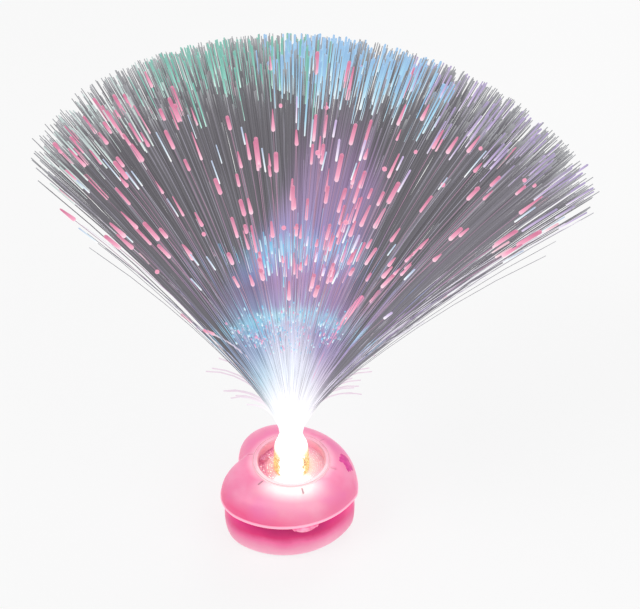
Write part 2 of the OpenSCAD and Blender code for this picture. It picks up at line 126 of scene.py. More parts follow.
class Value(Maker):
    """A node's output, whose arithmetic makes more nodes."""

    def __init__(self, tree, node, output=0):
        self.tree, self.socket = tree, node.outputs[output]

    def calc(self, operation, other=0):
        return self.node("Math", {0: self, 1: other}, operation=operation)

    __add__ = partialmethod(calc, "ADD")
    __sub__ = partialmethod(calc, "SUBTRACT")
    __mul__ = partialmethod(calc, "MULTIPLY")
    __truediv__ = partialmethod(calc, "DIVIDE")
    __abs__ = partialmethod(calc, "ABSOLUTE")
    at_least = partialmethod(calc, "MAXIMUM")
    at_most = partialmethod(calc, "MINIMUM")
    root = partialmethod(calc, "SQRT")

    def spread(self, low, high, to_low=0, to_high=1):
        """From low..high to to_low..to_high, eased at both ends."""
        ends = dict(enumerate((self, low, high, to_low, to_high)))
        return self.node("MapRange", ends, interpolation_type="SMOOTHSTEP")

    def ramp(self, *stops):
        made = add_node(self.tree, "ValToRGB", {0: self})
        stones = made.color_ramp.elements
        while len(stones) < len(stops):
            stones.new(0.5)
        for stone, (place, code) in zip(stones, stops):
            stone.position, stone.color = place, linear(code)
        return Value(self.tree, made)

    def mix(self, a, b):
        """From colour a at 0 to colour b at 1."""
        return self.node("Mix", {0: self, 6: a, 7: b}, 2, data_type="RGBA")


class Paint(Maker):
    """A material, and short calls for the values that feed its shader."""

    def __init__(self, name, **shader):
        self.material = bpy.data.materials.new(name)
        self.material.use_nodes = True
        self.tree = self.material.node_tree
        self.shader = self.tree.nodes["Principled BSDF"]
        self.set(**shader)

    def set(self, **inputs):
        for key, value in inputs.items():
            feed(self.tree, self.shader.inputs[key.replace("_", " ").title().replace("Ior", "IOR")], value)

    def glow(self, colour, strength=1):
        self.set(emission_color=colour, emission_strength=strength)

    def lit(self, colour, strength):
        """One colour for the surface and for its faint light."""
        self.set(base_color=colour)
        self.glow(colour, strength)

    def vector(self, operation, a, b=(0, 0, 0)):
        output = "Value" if operation in ("DOT_PRODUCT", "LENGTH") else "Vector"
        return self.node("VectorMath", {0: a, 1: b}, output, operation=operation)

    def place(self, origin=(0, 0, 0)):
        """Where a point lies from an origin, in metres."""
        return self.vector("SUBTRACT", self.node("TexCoord", {}, "Object"), origin)

    def axis(self, name):
        return self.node("SeparateXYZ", {0: self.place()}, name)

    def along(self, way, origin=(0, 0, 0)):
        """How far a point lies from an origin along a direction."""
        return self.vector("DOT_PRODUCT", self.place(origin), tuple(way))

    def reach(self, centre, squeeze=(1, 1, 1)):
        """Distance from a point, with the axes squeezed."""
        return self.vector("LENGTH", self.vector("MULTIPLY", self.place(centre), squeeze))

    def field(self, name):
        return self.node("Attribute", {}, "Fac", attribute_name=name)

    def noise(self, size, detail=3.0):
        """Noise whose blobs are about size metres."""
        names = {"Vector": self.place(), "Scale": 1 / size, "Detail": detail}
        return self.node("TexNoise", names, "Fac")

    def bump(self, height, depth, strength):
        names = {"Height": height, "Distance": depth, "Strength": strength}
        self.set(normal=self.node("Bump", names))


def plain(name, code, rough, grain, depth, metallic=0.0):
    """A plain surface whose colour and gloss vary a little, with a fine grain, in millimetres."""
    paint = Paint(name, metallic=metallic)
    speck = paint.noise(grain * MM, 4)
    dark = tuple(0.55 * c for c in linear(code)[:3]) + (1,)
    paint.set(base_color=speck.spread(0.3, 0.7, 0, 0.16).mix(code, dark),
              roughness=paint.noise(grain * 12 * MM).spread(0.35, 0.65, rough, rough + 0.12))
    paint.bump(speck, depth * MM, 0.5)
    return paint


# ---------------- mesh helpers


def make_piece(name, points, faces, paint, body, fields=None):
    """A smooth mesh on a body, with fields of one number for each point."""
    mesh = bpy.data.meshes.new(name)
    mesh.from_pydata([tuple(p) for p in points], [], [tuple(int(i) for i in f) for f in faces])
    mesh.validate()
    for key, values in (fields or {}).items():
        layer = mesh.attributes.new(key, "FLOAT", "POINT")
        layer.data.foreach_set("value", np.asarray(values, np.float32))
    mesh.shade_smooth()
    mesh.materials.append(paint.material)
    made = add_object(name, mesh)
    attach(made, body)
    return made


def merged(name, parts, paint, body):
    """One piece of several solids, each of them points and faces."""
    points, faces, base = [], [], 0
    for some, more in parts:
        points.append(some)
        faces += [tuple(i + base for i in face) for face in more]
        base += len(some)
    return make_piece(name, np.concatenate(points) * MM, faces, paint, body)


def crisp(piece, degrees):
    """Smooth shading that breaks at edges sharper than an angle."""
    piece.data.set_sharp_from_angle(angle=math.radians(degrees))


def grid_faces(rows, columns, closed_rows=False):
    """Quads over rows of points, each row a closed loop."""
    last = rows if closed_rows else rows - 1
    return [
        (i * columns + j, i * columns + (j + 1) % columns,
         (i + 1) % rows * columns + (j + 1) % columns, (i + 1) % rows * columns + j)
        for i in range(last) for j in range(columns)
    ]


def capped_grid(rows, columns):
    """The same, closed by a face at each end."""
    first = tuple(range(columns))
    return grid_faces(rows, columns) + [first[::-1], tuple((rows - 1) * columns + j for j in first)]


def circle(radius, turn):
    """Points (x, y) on a circle at the given turns."""
    return np.stack([radius * np.cos(turn), radius * np.sin(turn)], -1)


def turned(name, profile, paint, body="base", columns=96, ripple=None):
    """A ring turned round the lamp's axis from a loop of (radius, height)."""
    turn = np.linspace(0, math.tau, columns, endpoint=False)
    rows = []
    for radius, height in profile:
        wide = radius + (ripple(turn, radius, height) if ripple else 0)
        rows.append(np.c_[circle(wide, turn), np.full(columns, height)])
    points = np.concatenate(rows) * MM
    return make_piece(name, points, grid_faces(len(rows), columns, True), paint, body)


def rounded(corners, radius, steps=4):
    """A loop of (x, y) corners with each corner rounded."""
    out = []
    corners = np.array(corners, float)
    for here, last, following in zip(corners, np.roll(corners, 1, 0), np.roll(corners, -1, 0)):
        before, after = last - here, following - here
        cut = min(radius, np.linalg.norm(before) * 0.45, np.linalg.norm(after) * 0.45)
        start = here + before / np.linalg.norm(before) * cut
        end = here + after / np.linalg.norm(after) * cut
        for t in np.linspace(0, 1, steps + 1):
            out.append(tuple((1 - t) ** 2 * start + 2 * t * (1 - t) * here + t * t * end))
    return out


# ---------------- the spray of fibres

COLLAR_TOP = 66.5
ROOT_TOP, ROOT_LOW, ROOT_RADIUS = 61.0, 42.35, 5.75  # the potted root ends inside the collar
STRAND_START = 57.0
STRAIGHT = 6.5  # a fibre runs straight for this length, up to the collar's mouth
BEND = 21.0  # and takes on most of its lean over this one
STEPS = 64
NECK = (0, 0, 65 * MM)


class Strands:
    """Fibres that leave the root, each with its own lean, bend, droop and length, in millimetres.

    The lean is given in degrees to the photograph's right and away from its camera.
    """

    def __init__(self, lean_right, lean_back, length, random, root, bend=BEND, droop=0.25, sway=1.0):
        lean = np.radians(np.hypot(lean_right, lean_back))[:, None]
        toward = np.arctan2(lean_back, lean_right)[:, None]
        self.length = np.asarray(length, float)
        count = len(self.length)
        self.way = np.cos(toward) * RIGHT + np.sin(toward) * BACK
        self.side = np.cross([0, 0, 1], self.way)
        self.drift = random.normal(0, 3.2 * sway, count)
        self.wave = random.normal(0, sway, (count, 2))
        self.root = ROOT_RADIUS * np.clip(root, 0, 1)
        t = np.linspace(0, 1, STEPS + 1)
        free = np.maximum(self.length[:, None] * t - STRAIGHT, 0)
        bend, droop = np.reshape(bend, (-1, 1)), np.reshape(droop, (-1, 1))
        angle = lean * (1 - np.exp(-free / bend)) * (0.9 + droop * t**2)
        middle = (angle[:, 1:] + angle[:, :-1]) / 2
        steps = self.length[:, None, None] / STEPS * np.stack([np.sin(middle), np.cos(middle)], 2)
        self.walk = np.concatenate([np.zeros((count, 1, 2)), np.cumsum(steps, 1)], 1)  # outwards and up

    def at(self, s, pick=slice(None)):
        """Points at arc lengths s, a row for each fibre in pick."""
        t = np.clip(s / self.length[pick][:, None], 0, 1)
        spot = np.clip(t * STEPS, 0, STEPS - 1e-6)
        low = spot.astype(int)
        part = (spot - low)[..., None]
        walk, rows = self.walk[pick], np.arange(len(t))[:, None]
        out, up = np.moveaxis(walk[rows, low] * (1 - part) + walk[rows, low + 1] * part, 2, 0)
        wave = self.wave[pick]
        sway = self.drift[pick][:, None] * t**2 + wave[:, :1] * np.sin(t * 5 + wave[:, 1:] * 3) * t
        flat = (self.root[pick][:, None] + out)[..., None] * self.way[pick][:, None]
        flat += sway[..., None] * self.side[pick][:, None]
        flat[..., 2] = STRAND_START + up
        return flat


def tubes(paths, radii, sides):
    """Points and faces of tubes along paths, an array (tubes, stations, 3)."""
    count, rings = paths.shape[:2]
    way = np.gradient(paths, axis=1)
    way /= np.linalg.norm(way, axis=2, keepdims=True) + 1e-12
    across = np.cross(way, [0.13, 0.07, 1.0])
    across /= np.linalg.norm(across, axis=2, keepdims=True) + 1e-12
    over = np.cross(way, across)
    turn = math.tau * np.arange(sides)[:, None] / sides
    rim = np.cos(turn) * across[:, :, None] + np.sin(turn) * over[:, :, None]
    points = paths[:, :, None] + radii[:, :, None, None] * rim
    one = capped_grid(rings, sides)
    firsts = range(0, count * rings * sides, rings * sides)
    return points.reshape(-1, 3), [tuple(first + i for i in face) for first in firsts for face in one]


def bake_map(piece, count, rings, sides):
    """A UV map with a narrow column for each tube."""
    layer = piece.data.uv_layers.new(name="OFBake")
    corner = np.empty(len(piece.data.loops), np.int32)
    piece.data.loops.foreach_get("vertex_index", corner)
    tube, rest = np.divmod(corner, rings * sides)
    ring, side = np.divmod(rest, sides)
    u = (tube + 0.1 + 0.8 * side / sides) / count
    v = 0.01 + 0.98 * ring / max(rings - 1, 1)
    layer.data.foreach_set("uv", np.stack([u, v], 1).astype(np.float32).ravel())


def tube_piece(name, paths, radii, sides, paint, along, tone):
    """One piece of fibres or rods, with the place along each and its tone as fields."""
    points, faces = tubes(paths, radii, sides)
    count, stations = paths.shape[:2]
    fields = {"along": np.tile(np.repeat(along, sides), count), "tone": np.repeat(tone, stations * sides)}
    made = make_piece(name, points * MM, faces, paint, "spray", fields)
    bake_map(made, count, stations, sides)


def strand_piece(name, strands, paint, thick, stations, tone, pick=slice(None), sides=3):
    """One piece of the fibres in pick, which thicken above the root."""
    share = np.linspace(0, 1, stations) ** 1.6
    paths = strands.at(strands.length[pick][:, None] * share, pick)
    radii = thick * (0.6 + 0.4 * np.clip(share * 3, 0, 1)) * np.ones((len(paths), 1))
    tube_piece(name, paths, radii, sides, paint, share, tone[pick])


ROD_STATIONS = np.array([0, 0.012, 0.04, 0.09, 0.2, 0.4, 0.6, 0.8, 0.91, 0.96, 0.988, 1.0])
ROD_SIDES = 8
ROD_PAST = 0.4  # a rod ends this far past its fibre's tip


def glow_rods(name, strands, pick, random, colours, length, thick, taper=0.0):
    """Glowing ends of the fibres in pick: round-ended rods that follow the last stretch of each fibre.

    They are palest where the light gathers and deeper towards the tip. A share of them, taper, thin out.
    """
    paint = Paint(name.replace("ends", "end"), roughness=0.16, base_color="2a2a2a", coat_weight=0.5)
    shade = paint.field("along") + paint.field("tone") * 0.25
    paint.glow(shade.ramp(*zip((0.06, 0.38, 1), colours)))

    count, t = len(pick), ROD_STATIONS
    span = random.uniform(*length, count)
    wide = random.uniform(*thick, count)
    slim = np.where(random.random(count) < taper, random.uniform(0.15, 0.5, count), 0.95)
    cap = np.minimum(0.5, wide * 0.9 / span)[:, None]
    round_end = np.sqrt(np.clip(1 - (1 - np.minimum(t, 1 - t) / cap).clip(0) ** 2, 0.02, 1))
    tips = strands.length[pick][:, None]
    ends = tips + ROD_PAST
    start = np.maximum(ends - span[:, None], 1)
    s = start + (ends - start) * t
    paths = strands.at(s, pick)
    heading = paths[:, -1:] - paths[:, :1]
    heading /= np.linalg.norm(heading, axis=2, keepdims=True)
    paths += heading * np.clip(s - tips, 0, 1)[..., None]
    radii = wide[:, None] * (1 + (slim[:, None] - 1) * t) * round_end
    tube_piece(name, paths, radii, ROD_SIDES, paint, t, random.random(count))


# colours of the glow by the share of its reach: on the left, on the right and along the middle
GLOW_REACH = 0.189  # metres from the neck
GLOW_LEFT = ((0, "ffffff"), (0.12, "f4fbff"), (0.19, "c3e2f5"), (0.25, "a6bede"), (0.30, "93a6cc"),
             (0.35, "9cdcf6"), (0.38, "8f98bc"), (0.44, "8a7fa2"), (0.48, "8f9acc"), (0.535, "9cc4ee"),
             (0.58, "8f8cb8"), (0.64, "8c819e"), (0.78, "857689"), (1, "77717d"))
GLOW_RIGHT = ((0, "ffffff"), (0.13, "fbf8ff"), (0.20, "dccfea"), (0.25, "b2a2cc"), (0.30, "a092c2"),
              (0.35, "b0dcf8"), (0.38, "a68fbe"), (0.44, "ac90be"), (0.48, "a294cc"), (0.535, "a4c2f0"),
              (0.58, "a294c8"), (0.64, "a68eb8"), (0.78, "a488b0"), (1, "887c8c"))
GLOW_CORE = ((0, "ffffff"), (0.24, "f4f2ff"), (0.315, "d6d2ee"), (0.35, "ccf4ff"), (0.38, "bca8d4"),
             (0.46, "c49ccb"), (0.49, "b2aede"), (0.535, "b4dafa"), (0.58, "b0a4d6"), (0.66, "b39ac2"),
             (1, "9c8aa4"))
DARK_CORE = "2c2b30"  # the strands' own colour under their light


def glow_place(paint):
    """How far a point lies from the neck to the photograph's right, and upwards."""
    return [paint.along(way, NECK) for way in (RIGHT, VIEW_UP)]


def glow_colour(paint):
    """The glow: white at the neck, then blue and lilac, with two brighter bands."""
    right, up = glow_place(paint)
    far = (right * right + up * up).root()
    reach = far / GLOW_REACH
    left, other, core = [reach.ramp(*stops) for stops in (GLOW_LEFT, GLOW_RIGHT, GLOW_CORE)]
    middle = abs(right).spread(0.018, 0.004, 0, 0.7) * far.spread(0.17, 0.12, 0.2, 1)
    return middle.mix(right.spread(-0.006, 0.02).mix(left, other), core)


def shaded_glow(paint):
    """The glow, darker on some strands than on others, except at the neck."""
    tone = paint.field("tone")
    shade = tone.spread(0, 1, 0.28, 0) + tone.spread(0.2, 0.1, 0, 0.22)
    shade = shade * paint.reach(NECK).spread(0.03, 0.07) * -1 + 1.03
    grey = paint.node("CombineXYZ", {0: shade, 1: shade, 2: shade})
    return paint.vector("MULTIPLY", glow_colour(paint), grey)


def glow_mask(paint, share):
    """One along the middle of the spray and none beside it; the glow is widest at half its height.

    Higher up it drifts to the right, and it fades to a tenth below the tips.
    """
    right, up = glow_place(paint)
    drift = ((up - 0.078) * 0.48).at_least(0).at_most(0.026)
    wide = (up * 0.42 + 0.009).at_most(up * -0.17 + 0.05).at_least(0.004)
    part = abs(right - drift) / wide
    mask = part.spread(1.15, 0.55) * up.spread(0.12, 0.174, share, 0.1)
    return mask.at_least(paint.reach(NECK).spread(0.045, 0.02))


def fibre_paint(name, dark, middle, light, share=1.0):
    """Clear strands, grey in bulk, with a share of the glow along the middle. The grey is given as their
    light: painted light that lifts the shade among the dense strands.
    """
    paint = Paint(name, roughness=0.3, ior=1.49, base_color=DARK_CORE)
    streaks = paint.field("tone") + paint.noise(0.03, 2) * 0.2
    # Painted light: the grey below is emitted, not lit.
    grey = streaks.ramp((0.1, dark), (0.5, middle), (0.8, middle), (11 / 12, light))
    grey = paint.field("along").spread(0.96, 1, 0, 0.6).mix(grey, "aeb0b3")
    paint.glow(glow_mask(paint, share).mix(grey, shaded_glow(paint)))
    return paint


def pink_strand_paint():
    """Strands with pink ends: lilac near the neck, pinker towards the tip."""
    paint = Paint("fibre_pink_light", roughness=0.3, base_color=DARK_CORE)
    pink = paint.field("tone").ramp((0, "94788c"), (1, "b98aa6"))
    paint.glow(paint.field("along").spread(0.5, 0.85).mix(shaded_glow(paint), pink))
    return paint


def lean_map(random, count, start, end, power, right=46, left=34, deep=42):
    """Leans in degrees over a part of an oval, and how far out each one is."""
    turn = np.radians(random.uniform(start, end, count))
    share = random.random(count) ** power
    wide = np.where(np.cos(turn) > 0, right, left)
    lean_right = share * np.cos(turn) * wide + random.normal(0, 1, count)
    lean_back = share * np.sin(turn) * deep + random.normal(0, 1, count)
    return lean_right, lean_back, share


def clumped(random, chance, hue, count, bunch=1.0):
    """Up to count of the fibres where chance is true, in bunches."""
    weight = chance * np.exp(bunch * (1.1 * np.sin(1.7 * hue) + 0.8 * np.sin(0.83 * hue + 1)))
    return random.choice(len(hue), min(count, int(chance.sum())), False, weight / weight.sum())


# colours, lengths and radii of glowing ends, in millimetres, and the share of them that thin out
PINK_ENDS = ("ffd6e4", "f6a2c0", "d4779a"), (7, 19), (0.66, 1.15), 0.5
GREEN_ENDS = ("d8fff3", "96d8c8", "74b6a8"), (15, 30), (0.36, 0.7)
CYAN_ENDS = ("ecfbff", "acdcf4", "92bce2"), (15, 31), (0.4, 0.8)
LILAC_ENDS = ("efe6f8", "cdb9e2", "a697bf"), (11, 24), (0.34, 0.64)
WHITE_ENDS = ("f2fbf8", "d9e9e6", "c0cfcd"), (11, 25), (0.3, 0.46)


def make_back_fibres(random):
    """The long fibres behind and beside the axis."""
    parts = (2400, -7, 187, 0.44), (190, -8, 15, 0.2), (190, 165, 188, 0.2)
    maps = [lean_map(random, *part) for part in parts]
    right, back, share = [np.concatenate(numbers) for numbers in zip(*maps)]
    count = len(right)
    length = 244 - np.minimum(random.exponential(4.5, count), 20)
    long = Strands(right, back, length, random, share)
    tone = random.beta(1.6, 2.2, count)
    rim = (share > 0.72) & (back < 5) & (right > 24)
    grey = fibre_paint("fibre_grey", "545256", "69676c", "8f8c97")
    edges = (-90, -12, 12, 90)
    for name, low, high in zip(("left", "middle", "right"), edges, edges[1:]):
        pick = (right >= low) & (right < high) & ~rim
        strand_piece("fibres_back_" + name, long, grey, 0.3, 11, tone, pick)
    pale = fibre_paint("fibre_rim", "626066", "7a777e", "a9a6af")
    strand_piece("fibres_rim", long, pale, 0.3, 11, tone, rim)

    hue = right + random.normal(0, 1.5, count)
    far = back > 9
    ends = (
        ("green", GREEN_ENDS, far & (hue < 6) & (hue > -21), 200, 0.5),
        ("cyan", CYAN_ENDS, far & (hue > -1) & (hue < 23), 270, 0.5),
        ("lilac", LILAC_ENDS, (hue > 19) & (share > 0.5), 110, 1),
        ("white", WHITE_ENDS, (hue < -15) & (share > 0.5), 105, 1),
        ("pink_back", PINK_ENDS, (back < 12) & (share > 0.25) & (hue < 30), 42, 1),
    )
    picks = [clumped(random, chance, hue, most, bunch) for *_, chance, most, bunch in ends]
    for (name, looks, *_), pick in zip(ends, picks):
        glow_rods("ends_" + name, long, pick, random, *looks)


def make_front_fibres(random):
    """The thinner screen of long fibres that lean to the photograph's camera."""
    right, back, share = lean_map(random, 170, 180, 360, 0.5, 44, 33, 33)
    count = len(right)
    length = 243 - np.minimum(random.exponential(6, count), 26)
    long = Strands(right, back, length, random, share)
    tone = random.beta(1.5, 1.8, count)
    pink = clumped(random, (share > 0.1) & (np.abs(right) < 36), right, 70)
    rest = np.setdiff1d(np.arange(count), pink)
    paint = fibre_paint("fibre_front", "5a585f", "77747f", "a9a5b4", 0.9)
    strand_piece("fibres_front", long, paint, 0.15, 12, tone, rest)
    strand_piece("fibres_front_pink", long, pink_strand_paint(), 0.17, 12, tone, pink)
    glow_rods("ends_pink_front", long, pink, random, *PINK_ENDS)
    pale = random.choice(rest, 30, False)
    glow_rods("ends_pale_front", long, pale, random, ("ffffff", "dff0fa", "b4c6e0"), (8, 20), (0.3, 0.45))
    dots = random.choice(np.setdiff1d(rest, pale), 16, False)
    glow_rods("ends_dot_front", long, dots, random, ("ffdbe8", "f9adc8", "f093b4"), (2.0, 2.8), (0.9, 1.3))


def make_centre_fibres(random):
    """A loose column of pink-ended fibres up the middle."""
    count = 90
    right = np.where(random.random(count) < 0.56, random.normal(0, 5, count), random.normal(12, 4.5, count))
    back = random.uniform(-31, 0, count)
    short = random.random(count) < 0.3
    length = np.where(short, random.uniform(150, 205, count), random.uniform(222, 242, count))
    column = Strands(right, back, length, random, 0.3 + 0.7 * random.random(count))
    strand_piece("fibres_centre", column, pink_strand_paint(), 0.14, 12, random.random(count))
    pale = np.flatnonzero(random.random(count) < 0.22)
    glow_rods("ends_pink_centre", column, np.setdiff1d(np.arange(count), pale), random, *PINK_ENDS)
    glow_rods("ends_pale_centre", column, pale, random, ("ffffff", "f0e6fa", "c9b4e0"), (9, 20), (0.4, 0.7))


# the colours of the shorter fibres' ends, each with the top of its range in a draw from 0 to 1
TIER_ENDS = (("pale", 0.36, ("ffffff", "ecfaff", "b9e4f6")), ("blue", 0.78, ("e2f7ff", "93d2ee", "79bce2")),
             ("rosy", 1, ("ffe6f1", "f3b0d0", "dd93be")))
RODS, DOTS = ((6, 17), (0.4, 0.75)), ((0.9, 3.4), (0.32, 0.52))


def make_tier(name, count, middle, spread, length, root, ends, random):
    """Shorter fibres inside the long ones, whose glowing ends make a bright dome.

    The middle and the spread of their leans are degrees to the right and away from the camera.
    """
    turn = random.uniform(0, math.tau, count)
    share = np.sqrt(random.random(count))
    lean = np.array(middle) + share[:, None] * np.array(spread) * circle(1, turn)
    tier = Strands(*lean.T, random.uniform(*length, count), random, share * root, sway=0.3)
    paint = fibre_paint("fibre_" + name, "6a687c", "8e88a6", "b4acc8")
    strand_piece("fibres_" + name, tier, paint, 0.2, 9, random.random(count))
    luck = random.random(count)
    low = 0
    for key, high, colours in TIER_ENDS:
        pick = np.flatnonzero((luck >= low) & (luck < high))
        glow_rods(f"ends_{name}_{key}", tier, pick, random, colours, *ends)
        low = high


# lean to the right and away in degrees, length in mm and droop of the short fibres that curl out
CURLS = [(-30, 0, 66, 3.0), (-34, 3, 62, 2.7), (-27, -3, 58, 3.2), (-32, 4, 78, 2.2), (-22, 5, 90, 2.6),
         (31, 0, 64, 2.8), (35, -3, 62, 2.4), (34, 4, 78, 2.1), (30, 4, 88, 2.0), (29, 6, 102, 1.9),
         (27, 2, 112, 1.9), (38, 5, 68, 2.1), (-16, -5, 116, 2.5)]


def make_curls(random):
    """Short fibres that curl down outside, each with a near copy."""
    curls = np.array(CURLS + CURLS)
    count = len(curls)
    copied = np.arange(count)[:, None] >= len(CURLS)
    curls = curls * (1 + copied * random.normal(0, 0.09, curls.shape))
    right, back, length, droop = curls.T
    curls = Strands(right, back, length, random, np.ones(count), bend=31, droop=droop, sway=0.3)
    paint = Paint("fibre_curl", roughness=0.25, base_color="7f7884")
    far = paint.reach(NECK)
    paint.glow(far.spread(0.015, 0.05).mix("ffffff", "eedae6"), far.spread(0.012, 0.05, 1, 0.77))
    strand_piece("fibres_curl", curls, paint, 0.42, 16, random.random(count), sides=5)
    glow_rods("ends_curl", curls, np.array([len(CURLS) - 1]), random, ("ffdbe6", "f9b3c8", "f29ab6"), (7, 8),
              (0.85, 0.95))


def make_strays(random):
    """Loose fibres beside the spray, more of them on the right."""
    more, few = 20, 11
    count = more + few
    right = np.concatenate([random.uniform(42, 46.5, more), -random.uniform(32, 36, few)])
    back = np.concatenate([random.uniform(-9, 3, more), random.uniform(-8, 3, few)])
    strays = Strands(right, back, random.uniform(110, 236, count), random, np.ones(count), bend=30, droop=0.3)
    paint = Paint("fibre_stray", roughness=0.25, base_color="b0acb8")
    far = paint.reach(NECK).spread(0.03, 0.16)
    paint.glow(far.ramp((0, "f4f0fa"), (0.2, "b3adbd"), (0.7, "d6d2da")), 0.75)
    strand_piece("fibres_stray", strays, paint, 0.17, 14, random.random(count), sides=4)
    glow_rods("ends_stray", strays, random.choice(count, 11, False), random, ("ffeef2", "f8ccd8", "ecb8c8"),
              (7, 12), (0.6, 0.9))


def make_long_rod(random):
    """One fibre at the front right whose whole outer part glows pink."""
    one = Strands([16.0], [-8.0], [134.0], random, np.ones(1), bend=30, droop=0.9, sway=0.05)
    paint = Paint("fibre_long_rod", roughness=0.3, base_color=DARK_CORE)
    pink = paint.field("along").ramp((0.15, "ffffff"), (0.45, "f3a6c6"), (1, "ee92b8"))
    paint.glow(pink)
    strand_piece("fibre_long_rod", one, paint, 0.42, 12, np.ones(1), sides=6)
    colours = ("f59fbe", "fbb4cc", "f28cb4")
    glow_rods("end_long_rod", one, np.array([0]), random, colours, (25, 26), (1.55, 1.6))


def make_spray():
    random = np.random.default_rng(11)
    make_back_fibres(random)
    make_front_fibres(random)
    make_centre_fibres(random)
    make_tier("middle", 210, (0, 7.0), (20.5, 7.5), (134, 147), 0.5, RODS, random)
    make_tier("short", 760, (-0.5, 1), (20.5, 15.5), (91, 99), 0.85, DOTS, random)
    make_tier("near", 170, (-0.5, -16.0), (17.5, 6), (108, 130), 0.9, DOTS, random)
    make_curls(random)
    make_strays(random)
    make_long_rod(random)


def make_root():
    """The potted root, with the polished ends of the fibres below."""
    paint = Paint("fibre_root", roughness=0.2)
    paint.glow("ffffff", 0.35)
    names = {"Vector": paint.place(), "Scale": 1 / (0.55 * MM)}
    ends = paint.node("TexVoronoi", names, "Distance")
    paint.set(base_color=ends.ramp((0.1, "f4f6fa"), (0.5, "8d8a92")))
    paint.bump(ends, 0.05 * MM, 0.6)
    profile = [(0.02, ROOT_LOW), (5.7, ROOT_LOW), (5.88, ROOT_LOW + 0.2), (5.88, ROOT_TOP - 0.4),
               (5.6, ROOT_TOP), (0.02, ROOT_TOP)]
    made = turned("fibre_root", profile, paint, "spray", 72)
    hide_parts("fibre_bundle")


# ---------------- the heart

# the outline in plan: two lobes, a tip at the front, long arcs between them and a rounded notch at the back
LOBE_R, LOBE_BACK, LOBE_SIDE = 24.7, 14.0, 16.0
TIP_R, TIP_FRONT = 9.0, 32.6
SIDE_R = 49.0
NOTCH_R = 2.5
LOBE_C, TIP_C = np.array([-LOBE_BACK, LOBE_SIDE]), np.array([TIP_FRONT, 0.0])

# heights: the foot, the seam, the lip over it, the dome and the ring
FOOT_GAP, RIM_Z, RIM_H, DOME_H = 1, 29.0, 2.4, 15.4
RING_Z = RIM_Z + RIM_H + DOME_H
DISH_TOP = RING_Z - 4.8
RING_R, PIT_R = 22.0, 20.15
TOP_WALL = 1.8
TONGUE = 6.4  # how far the tongue inside the seam is set in


def arc(centre, radius, start, end, steps):
    return centre + circle(radius, start + (end - start) * np.arange(steps) / steps)


def side_centre():
    """The centre of the arc between a lobe and the tip, tangent to both."""
    span = np.linalg.norm(TIP_C - LOBE_C)
    unit = (TIP_C - LOBE_C) / span
    lobe_reach, tip_reach = SIDE_R - LOBE_R, SIDE_R - TIP_R
    near = (lobe_reach**2 - tip_reach**2 + span**2) / (2 * span)
    off = math.sqrt(lobe_reach**2 - near**2)
    return LOBE_C + near * unit + off * np.array([unit[1], -unit[0]])


SIDE_C = side_centre()


def heart(inset, fine=5):
    """The outline drawn in by an inset, counterclockwise from the tip."""
    lobe, tip, side = LOBE_C, TIP_C, SIDE_C
    notch = np.array([-LOBE_BACK - math.sqrt((LOBE_R + NOTCH_R) ** 2 - LOBE_SIDE**2), 0])
    tip_turn = math.atan2(-side[1], TIP_FRONT - side[0])
    lobe_turn = math.atan2(lobe[1] - side[1], lobe[0] - side[0])
    notch_turn = math.tau + math.atan2(-LOBE_SIDE, notch[0] + LOBE_BACK)
    full, half = math.tau, math.pi
    flip = np.array([1, -1])
    return np.concatenate([
        arc(tip, TIP_R - inset, -tip_turn, tip_turn, 5 * fine),
        arc(side, SIDE_R - inset, tip_turn, lobe_turn, 13 * fine),
        arc(lobe, LOBE_R - inset, lobe_turn, notch_turn, 14 * fine),
        arc(notch, NOTCH_R + inset, notch_turn - half, half - notch_turn, 4 * fine),
        arc(lobe * flip, LOBE_R - inset, full - notch_turn, full - lobe_turn, 14 * fine),
        arc(side * flip, SIDE_R - inset, full - lobe_turn, full - tip_turn, 13 * fine),
    ])


def level(inset, height, share=0.0):
    """The outline drawn in, and blended by a share to the round opening."""
    flat = heart(inset)
    ring = RING_R * flat / np.linalg.norm(flat, axis=1, keepdims=True)
    return np.c_[(1 - share) * flat + share * ring, np.full(len(flat), height)]


def levels_at(base, *stops):
    """Levels at (inset, height) stops, with the heights over a base."""
    return [level(inset, base + height) for inset, height in stops]


def dome(inset, drop, steps):
    """Levels from the lip to the opening, drawn in by the inset and lowered by the drop."""
    turns = np.linspace(0, math.pi / 2, steps + 1)
    foot = RIM_Z + RIM_H + drop
    return [level(inset, foot + (DOME_H - drop) * math.sin(a), 1 - math.cos(a)) for a in turns]


def shell_piece(name, points, rows, paint, fields=None):
    faces = grid_faces(rows, len(points) // rows, True)
    return make_piece(name, points * MM, faces, paint, "base", fields)


def shell_paint(name, **more):
    """Softly glossy plastic with a faint grain, which lets a little light in."""
    paint = Paint(name, roughness=0.36, ior=1.46, subsurface_weight=0.12, subsurface_scale=3 * MM, **more)
    paint.bump(paint.noise(0.9 * MM, 2), 0.03 * MM, 0.25)
    return paint


def around(paint):
    """Distance from the axis, and how far that way faces the photograph's camera and its right."""
    radius = paint.reach((0, 0, 0), (1, 1, 0))
    safe = radius.at_least(0.001)
    front, right = [paint.along(way) / safe for way in (-BACK, RIGHT)]
    return radius, front, right


MARK_TURNS = np.radians(60 * np.arange(6) + 3)
MARK_FROM, MARK_TO, MARK_WIDE, MARK_DEEP = 24.4, 27.4, 0.55, 0.5


def mark_depth(points):
    """How far each point lies inside one of the six small marks round the ring."""
    depth = np.zeros(len(points))
    for x, y in circle(1, MARK_TURNS):
        out, side = points[:, :2] @ (x, y), points[:, :2] @ (-y, x)
        past = np.maximum(np.maximum(MARK_FROM - out, out - MARK_TO), 0)
        depth = np.maximum(depth, np.clip(1.5 - np.hypot(past, side) / MARK_WIDE, 0, 1) * (out > 0))
    return depth


BLOT = ((29.0 * MM, 13.6 * MM, 43.6 * MM), (32.6 * MM, 10.2 * MM, 41.8 * MM))  # on the right shoulder


